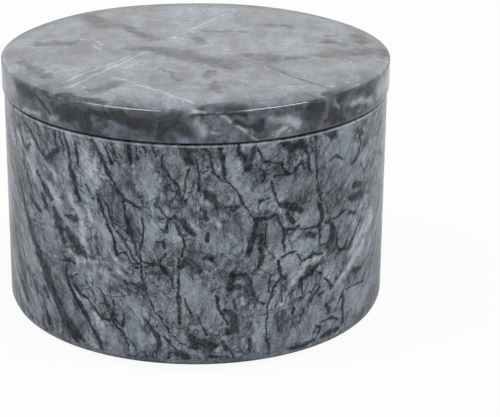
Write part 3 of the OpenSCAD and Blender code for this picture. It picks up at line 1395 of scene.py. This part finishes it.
# Right of the middle, upper half: a net of thin lines with blots at its knots
RIGHT_UPPER = veins(
    Tone.DARK,
    ((17, 59, 0.4), (19, 55.5, 0.4), (23, 54.7, 0.3), (24.5, 54.2, 0.4), (25.5, 52, 0.6)),
    ((25.5, 52, 0.6), (27, 51.3, 0.6), (28.7, 51.5, 0.6), (29.5, 53, 0.6), (31, 53.8, 0.9), (32.2, 52, 0.5)),
    ((22.3, 51, 0.4), (27, 51.3, 0.5)),
    ((16.7, 55, 0.3), (16.5, 52, 0.3), (17, 50.5, 0.3)),
    ((17.5, 54, 0.3), (19, 53, 0.3), (19.3, 51, 0.3), (18.5, 50, 0.3)),
    ((25, 59.5, 1.0), (27.5, 58, 1.7), (31.5, 58, 1.5)),
    ((30.5, 60, 0.6), (32, 57, 0.6), (33.5, 55, 0.4), (33.7, 51, 0.5)),
    ((34, 60, 0.3), (34.5, 56, 0.4), (36, 55, 0.4)),
    ((35.8, 60, 0.5), (36, 52, 0.5), (36.7, 48, 0.4), (37, 45, 0.7), (38.2, 42.5, 0.4)),
    ((39.5, 59.8, 1.1), (42.5, 59, 1.7)),
    ((41.5, 52.3, 0.4), (43.5, 53, 0.6), (46, 51.5, 0.4)),
    ((56.5, 56.5, 0.8), (54.5, 56.5, 0.6), (55.8, 54, 0.5), (54.5, 51, 0.8), (51, 49, 0.6)),
    ((52.5, 43, 1.2), (56, 42.5, 1.2)),
    ((51, 40, 1.3), (57, 39.5, 1.5)),
    ((21.5, 50, 0.6), (21.7, 48.5, 0.5), (22.5, 46.5, 0.5), (24, 43.5, 0.4)),
    ((24.5, 43.5, 1.0), (28, 42.5, 1.6), (31, 41, 1.1)),
    ((26.5, 41, 0.8), (28.5, 38, 0.6)),
    ((17.5, 41, 0.3), (17.7, 45.5, 0.3), (19.5, 45.3, 0.3), (21, 45.7, 0.3)),
    ((16.5, 40.5, 0.8), (18.5, 40.3, 0.9), (23, 41, 0.7)),
    ((17, 39.5, 1.0), (17, 36, 1.2), (15.5, 34, 1.2), (15, 31.5, 0.9)),
    ((18.5, 36, 0.7), (18.5, 30.5, 1.0), (17.5, 27.5, 0.6)),
    ((20, 39, 0.3), (19.6, 35, 0.4), (20.5, 31.5, 0.3), (22.5, 30, 0.3)),
    ((23.5, 40, 0.5), (25.2, 37.5, 0.6), (25.8, 34, 0.5), (25.5, 31, 0.4)),
    ((25.2, 37, 0.6), (29, 36.2, 0.6), (30.5, 37, 0.5)),
    ((24.5, 29.5, 0.4), (29.5, 30.3, 0.4)),
    ((31, 36, 0.5), (33, 35.7, 0.4), (37.5, 35.5, 0.4)),
    ((33, 34, 1.0), (36, 33.3, 1.0)),
    ((37, 42, 0.6), (38.5, 38.5, 1.2), (38, 36, 0.9), (38, 31.5, 0.4), (37.7, 30, 0.3)),
    ((41.5, 36, 0.5), (42.7, 34.5, 0.6), (42.3, 31, 0.5), (41, 30.3, 0.5), (38.5, 30.3, 0.3)),
    ((40, 36, 0.4), (45, 36.5, 0.5), (49, 37.5, 0.5)),
    ((43.3, 34, 0.9), (43.3, 30.5, 1.0), (41.5, 29, 0.9)),
    ((45, 32, 0.4), (44.7, 29, 0.6), (46.5, 27.2, 0.5), (48.7, 27, 0.6), (49.8, 29.5, 0.4)),
    ((51, 36, 0.8), (54, 35.3, 0.7)),
    ((50, 26.5, 0.4), (53, 29, 0.5), (57, 33, 0.5)),
)

# Right of the middle, lower half
RIGHT_LOWER = veins(
    Tone.DARK,
    ((30, 29.3, 0.3), (32.5, 27.3, 0.4), (36, 28.5, 0.5), (39.5, 27.7, 0.4)),
    ((23.7, 29, 0.5), (24.8, 25, 0.6), (26, 23.5, 0.6)),
    ((21.8, 25, 0.4), (20.8, 22, 0.4), (21, 20.5, 0.3)),
    ((25, 24.3, 0.4), (22.8, 22, 0.5), (21.2, 18, 0.4), (20.5, 15, 0.3), (20.4, 10, 0.3), (21.3, 5, 0.4)),
    ((30.5, 20.5, 0.5), (32, 22.5, 0.9), (35, 23.5, 1.2), (38.5, 25.7, 0.5)),
    ((31.7, 22, 0.6), (32, 18.5, 0.4)),
    ((37, 23.5, 0.3), (39.3, 22.5, 0.4), (38, 20.3, 0.3), (35.5, 18.5, 0.3), (34, 14.5, 0.3)),
    ((35, 15.5, 0.3), (36, 17, 0.4), (38.5, 18.8, 0.4)),
    ((38.5, 16.6, 0.7), (40, 17.2, 0.5)),
    ((40.5, 20.8, 0.4), (42.3, 19.5, 0.6), (43, 17.7, 1.0)),
    ((24, 17.5, 0.3), (23, 16, 0.3)),
    ((25, 20.5, 0.3), (25.3, 17.5, 0.4)),
    ((29, 14.5, 0.7), (28.7, 13, 0.5)),
    ((41.3, 13.5, 0.8), (42.5, 11.3, 0.9)),
    ((46.5, 12.5, 0.4), (48.5, 15, 0.6), (48.6, 10, 0.7), (48.8, 6.5, 0.9)),
    ((40, 8.8, 0.4), (43, 9.5, 0.5), (46.5, 8, 0.5)),
    ((36.5, 6.8, 0.5), (37.7, 8.3, 0.4), (39.3, 7.5, 0.4), (38.3, 6.3, 0.7)),
    ((28.5, 3.9, 0.8), (33, 3.6, 1.0), (37, 4.6, 0.6)),
    ((40, 4.7, 1.0), (46.5, 5.2, 0.9)),
    ((50, 15.3, 0.3), (56, 15.3, 0.3), (60, 14.5, 0.4)),
    ((52, 19.3, 0.9), (58, 19, 1.2)),
)

# White and pale streaks: the spindle at the upper left, flecks, and the two diagonals at the right
POT_STREAKS = veins(
    Tone.PALE,
    ((-33, 57.5, 1.3), (-32, 53, 1.3), (-30.5, 50.5, 0.9)),
    ((-29.5, 54, 0.9), (-29, 47.5, 0.7)),
    ((-45.5, 49, 0.6), (-43.5, 46.5, 0.7)),
    ((-47, 45, 0.7), (-44.5, 42, 0.9), (-42, 41, 0.5)),
    ((-39, 44, 0.6), (-37, 41, 0.9), (-35, 39, 0.7)),
    ((-32.5, 41.5, 0.7), (-31, 38.5, 0.6)),
    ((-34.5, 37.5, 0.9), (-33.5, 31.5, 0.7)),
    ((-39, 28.5, 0.6), (-36, 26.5, 0.7), (-32, 27.5, 0.7), (-29.5, 27.5, 0.5)),
    ((-27.3, 25.3, 0.9), (-26.3, 24.3, 0.9)),
    ((-23.3, 29, 0.6), (-22.5, 26, 0.5)),
    ((-30.5, 13.5, 0.6), (-29, 10.7, 1.0)),
    ((-58, 49, 0.9), (-54.5, 46.5, 1.1)),
    ((-64, 54, 1.2), (-61, 51.5, 0.8)),
    ((-5, 42, 0.5), (1, 38.5, 0.5)),
    ((5.2, 40.7, 0.8), (6.6, 39.7, 0.7)),
    ((13, 20, 0.4), (13.2, 18.5, 0.4)),
    ((23.3, 44, 0.4), (24.5, 41.5, 0.3)),
    ((40, 27.5, 0.5), (33.5, 26.3, 0.9), (30, 24.3, 1.0), (27.5, 20.5, 0.7), (25, 16.5, 0.4)),
    ((43.5, 17, 0.5), (50, 20.5, 1.1), (56, 24, 1.4), (58.5, 26, 1.0)),
    ((51, 24.5, 0.8), (57, 28.5, 1.6), (64, 31.5, 2.0)),
)

# Sound stone, where the web thins out
POT_SOUND = veins(
    Tone.CALM,
    ((-64, 30, 3.5), (-58, 22, 4.0)),
    ((-60, 14, 2.5), (-55, 9, 2.5)),
    ((-49, 36, 1.5), (-45, 27, 2.0), (-38, 11, 2.2)),
    ((-26, 9, 1.8), (-23, 5, 1.8)),
    ((-19, 12, 2.2), (-15, 7, 2.2)),
    ((-19, 19, 1.4), (-17, 17, 1.4)),
    ((-28, 38, 2.0), (-25, 33, 2.2)),
    ((-22, 52, 1.5), (-21, 43, 1.5)),
    ((-14, 55, 2.0), (-13, 49, 2.2)),
    ((-6, 57, 1.6), (-3, 54, 1.6)),
    ((-13, 38, 1.8), (-12, 34, 1.5)),
    ((-6.5, 37, 1.2), (-6.5, 34, 1.2)),
    ((-4, 26, 1.5), (1, 20, 2.8)),
    ((2, 37, 2.0), (8, 35, 2.2)),
    ((9, 57, 1.3), (10.5, 54, 1.4)),
    ((13, 50, 1.8), (15.5, 46, 1.6)),
    ((22, 57.5, 1.4), (19, 58, 1.0)),
    ((22, 37.5, 1.9), (23, 33, 1.9)),
    ((24, 48.5, 2.0), (32, 47.5, 2.6)),
    ((32, 38.5, 1.8), (36, 38.8, 1.8)),
    ((32, 31.5, 1.8), (36, 31, 1.8)),
    ((40.3, 33, 1.3), (40.5, 32.5, 1.3)),
    ((40, 52, 4.5), (50, 47, 4.5)),
    ((47, 57, 3.5), (50, 52, 3.0)),
    ((47, 31, 1.7), (48, 29.5, 1.7)),
    ((42, 23.5, 1.8), (46, 24, 2.0)),
    ((25.5, 27, 1.5), (29, 27, 1.3)),
    ((18, 24, 1.6), (18.5, 21, 1.2)),
    ((24, 7, 2.5), (33, 8, 3.0)),
    ((36, 12.5, 2.4), (39, 10.5, 2.0)),
    ((18, 10, 1.5), (18.5, 6, 1.5)),
    ((53, 12, 4.0), (58, 9, 4.0)),
)

BODY_STONE = MarbleFinish(
    name="pot_marble",
    veins=LEFT_FLANK + LEFT_OF_MIDDLE + MIDDLE + RIGHT_UPPER + RIGHT_LOWER + POT_STREAKS + POT_SOUND,
    pale=(0.174, 0.199, 0.237),
    dark=(0.001, 0.003, 0.007),
    white=(0.54, 0.56, 0.59),
    olive=(0.158, 0.180, 0.196),
    warm=(0.205, 0.196, 0.192),
    radius=50.3,
    cell=6.5,
    crushed=Patches(12.0, 0.47, 0.68, 1.0),
    pull=3.0,
    lean=48.0,
    web=1.15,
    traced=0.72,
    contrast=1.30,
    grain=1.85,
    fibre=1.5,
    wander=0.7,
    fray=(2.6, 0.45),
    dark_edge=(0.42, 1.25),
    torn=0.22,
    clear=0.20,
    polish=0.18,
    shine=0.20,
    bruising_and_highlight=0.42,
)

# Round the side
LID_SIDE_DARK = veins(
    Tone.DARK,
    ((-41, 65.0, 1.8), (-37, 65.8, 2.6), (-31.5, 65.4, 2.8)),
    ((-30, 66.8, 2.0), (-19, 66.7, 2.0)),
    ((-18, 66.0, 2.3), (-12.5, 65.7, 2.7)),
    ((-10.5, 65.6, 3.0), (-4, 65.3, 3.0)),
    ((-1, 67.8, 0.4), (3, 68.1, 0.4), (8, 68.5, 0.5)),
    ((9, 68.3, 0.9), (13.5, 68.2, 0.9)),
    ((11, 65.8, 1.0), (19, 64.8, 1.2)),
    ((31, 67.4, 0.8), (37, 66.8, 1.1)),
    ((38.5, 62.6, 0.6), (43, 63.2, 1.0), (47, 62.4, 0.6)),
    ((-62, 66.5, 1.2), (-53, 67, 1.2)),
    ((-50, 66.5, 0.8), (-45, 64, 0.8)),
    ((52, 67.8, 0.5), (60, 66.5, 0.6)),
)

LID_SIDE_PALE = veins(
    Tone.PALE,
    ((-58, 62, 0.6), (-50, 62.3, 0.7)),
    # The two broad pale patches at the side's ends paint the reflection where the side turns away from the
    # viewer
    ((-90, 66, 4.0), (-66, 65, 3.0)),
    ((68, 65, 3.0), (90, 66, 4.0)),
    ((-44, 63.0, 1.2), (-41, 65.5, 1.6)),
    ((-0.8, 69.1, 0.5), (2.5, 69.0, 0.5)),
    ((-11, 66.8, 0.4), (-11.2, 63.6, 0.5)),
    ((-29.8, 65.3, 0.5), (-28.8, 65.6, 0.5)),
    ((4.4, 63.5, 0.4), (5.5, 63.4, 0.4)),
    ((0.5, 66.3, 0.9), (2.5, 63.8, 1.1)),
    ((6, 68.7, 0.4), (11, 65.3, 0.5), (17, 61.3, 0.4)),
    ((21, 66, 0.9), (29, 64.2, 1.2)),
    ((25, 63, 0.7), (22.5, 62, 0.6)),
    ((42, 67.5, 0.6), (44, 65.6, 0.7)),
    ((50, 65.5, 0.7), (60, 64.5, 0.9)),
)

# Soft dark patches over the top
LID_TOP_PATCHES = veins(
    Tone.DARK,
    ((31, -6, 1.5), (37, -4, 4.5), (44, -2, 5.5), (52, -1, 5.5)),
    ((14, -6, 3.0), (20, -8.5, 5.5), (27, -7, 2)),
    ((-18, 1, 2.0), (-10, 0, 3.2), (-4, -4, 5.5), (1, -9, 3.6), (9, -14, 5)),
    ((-30, 34, 3), (-25, 25, 4), (-19, 21.5, 3), (-17, 17, 1.8), (-11, 9.5, 2.2)),
    ((-41, 5, 2.2), (-33, 6, 2.5)),
    ((20, 25, 2), (26, 23, 1.8)),
    ((2, 18, 0.8), (14, 17, 0.8)),
    ((34.5, 8.5, 1.8), (38.5, 5, 2)),
    ((35, 14.5, 1), (37.5, 13.5, 1)),
    ((43, 14, 2), (45, 7, 2.4)),
    ((1, 10.5, 1.8), (2, 6.5, 1.8)),
    ((18, -15, 0.6), (23, -22, 0.6), (28, -28, 0.6), (33, -36, 0.5)),
    ((3, -20, 1.4), (3, -25, 1.2)),
    ((4, -30, 1.3), (5, -38, 1.4)),
    ((-20, -31, 2.8), (-24, -36, 2.6)),
    ((-44, -12, 2.0), (-38, -24, 2.4)),
    ((-9, -17, 0.5), (-6, -22, 0.5), (-4, -28, 0.5)),
    ((-33, -37, 1.2), (-27, -42, 1.6), (-22, -44.5, 1.0)),
    ((1, -49, 1.2), (6, -47.5, 1.8), (12, -47.5, 1.6)),
    ((31, -38, 1.0), (35, -35, 1.5)),
    face=Face.TOP,
)

# Straight white veins and flecks over the top
LID_TOP_VEINS = veins(
    Tone.PALE,
    ((-13, -2, 0.3), (-22.5, -18, 0.4), (-31, -33, 0.4)),
    ((-17, -6, 0.15), (-25.5, -18, 0.28), (-33, -30, 0.3)),
    ((-22, -24, 0.3), (-15, -29.5, 0.45)),
    ((-14.5, -31.5, 0.6), (-9, -36.5, 0.75), (-1, -46, 0.5)),
    ((-6, 12, 0.12), (2, 26, 0.2), (8, 36, 0.12)),
    ((16, -36, 0.15), (22, -33, 0.25), (28, -32, 0.15)),
    ((24.5, 7, 0.4), (25.5, 7.2, 0.4)),
    ((30.5, -7, 0.5), (31.5, -6.8, 0.5)),
    ((7.6, 0, 0.35), (8.4, 0.1, 0.35)),
    ((-6.4, 11, 0.4), (-5.6, 11.2, 0.4)),
    ((-1.4, 30, 0.4), (-0.6, 30.2, 0.4)),
    ((-26, 8, 0.35), (-25, 4, 0.3)),
    ((-27, 3, 0.25), (-25.3, 1, 0.3), (-25, -1, 0.2)),
    face=Face.TOP,
)

LID_STONE = MarbleFinish(
    name="lid_marble",
    veins=LID_SIDE_DARK + LID_SIDE_PALE + LID_TOP_PATCHES + LID_TOP_VEINS,
    pale=(0.092, 0.112, 0.146),
    dark=(0.002, 0.003, 0.005),
    white=(0.48, 0.50, 0.53),
    olive=(0.098, 0.101, 0.106),
    warm=(0.120, 0.115, 0.110),
    radius=50.8,
    cell=13.0,
    crushed=Patches(12.0, 0.62, 0.78, 1.0),
    pull=1.6,
    lean=30.0,
    web=0.6,
    traced=0.0,
    contrast=1.35,
    grain=0.12,
    fibre=6.5,
    wander=2.4,
    fray=(4.5, 0.12),
    dark_edge=(0.35, 1.45),
    torn=0.18,
    clear=0.25,
    polish=0.10,
    shine=0.5,
    dull=0.22,
)


def main() -> None:
    """Builds the camera, the studio and every piece, in order."""
    logging.basicConfig(level=logging.INFO, format="%(name)s: %(message)s")
    bpy.context.scene.view_settings.view_transform = "Standard"
    Viewpoint().build()
    Studio().build()
    for maker in (Pot(BODY_STONE), Lid(LID_STONE)):
        piece = maker.build()
        log.info("%s: %d faces", piece.name, len(piece.data.polygons))
    for pad in FootPads().build():
        log.info("%s dressed", pad.name)


if __name__ == "__main__":
    main()
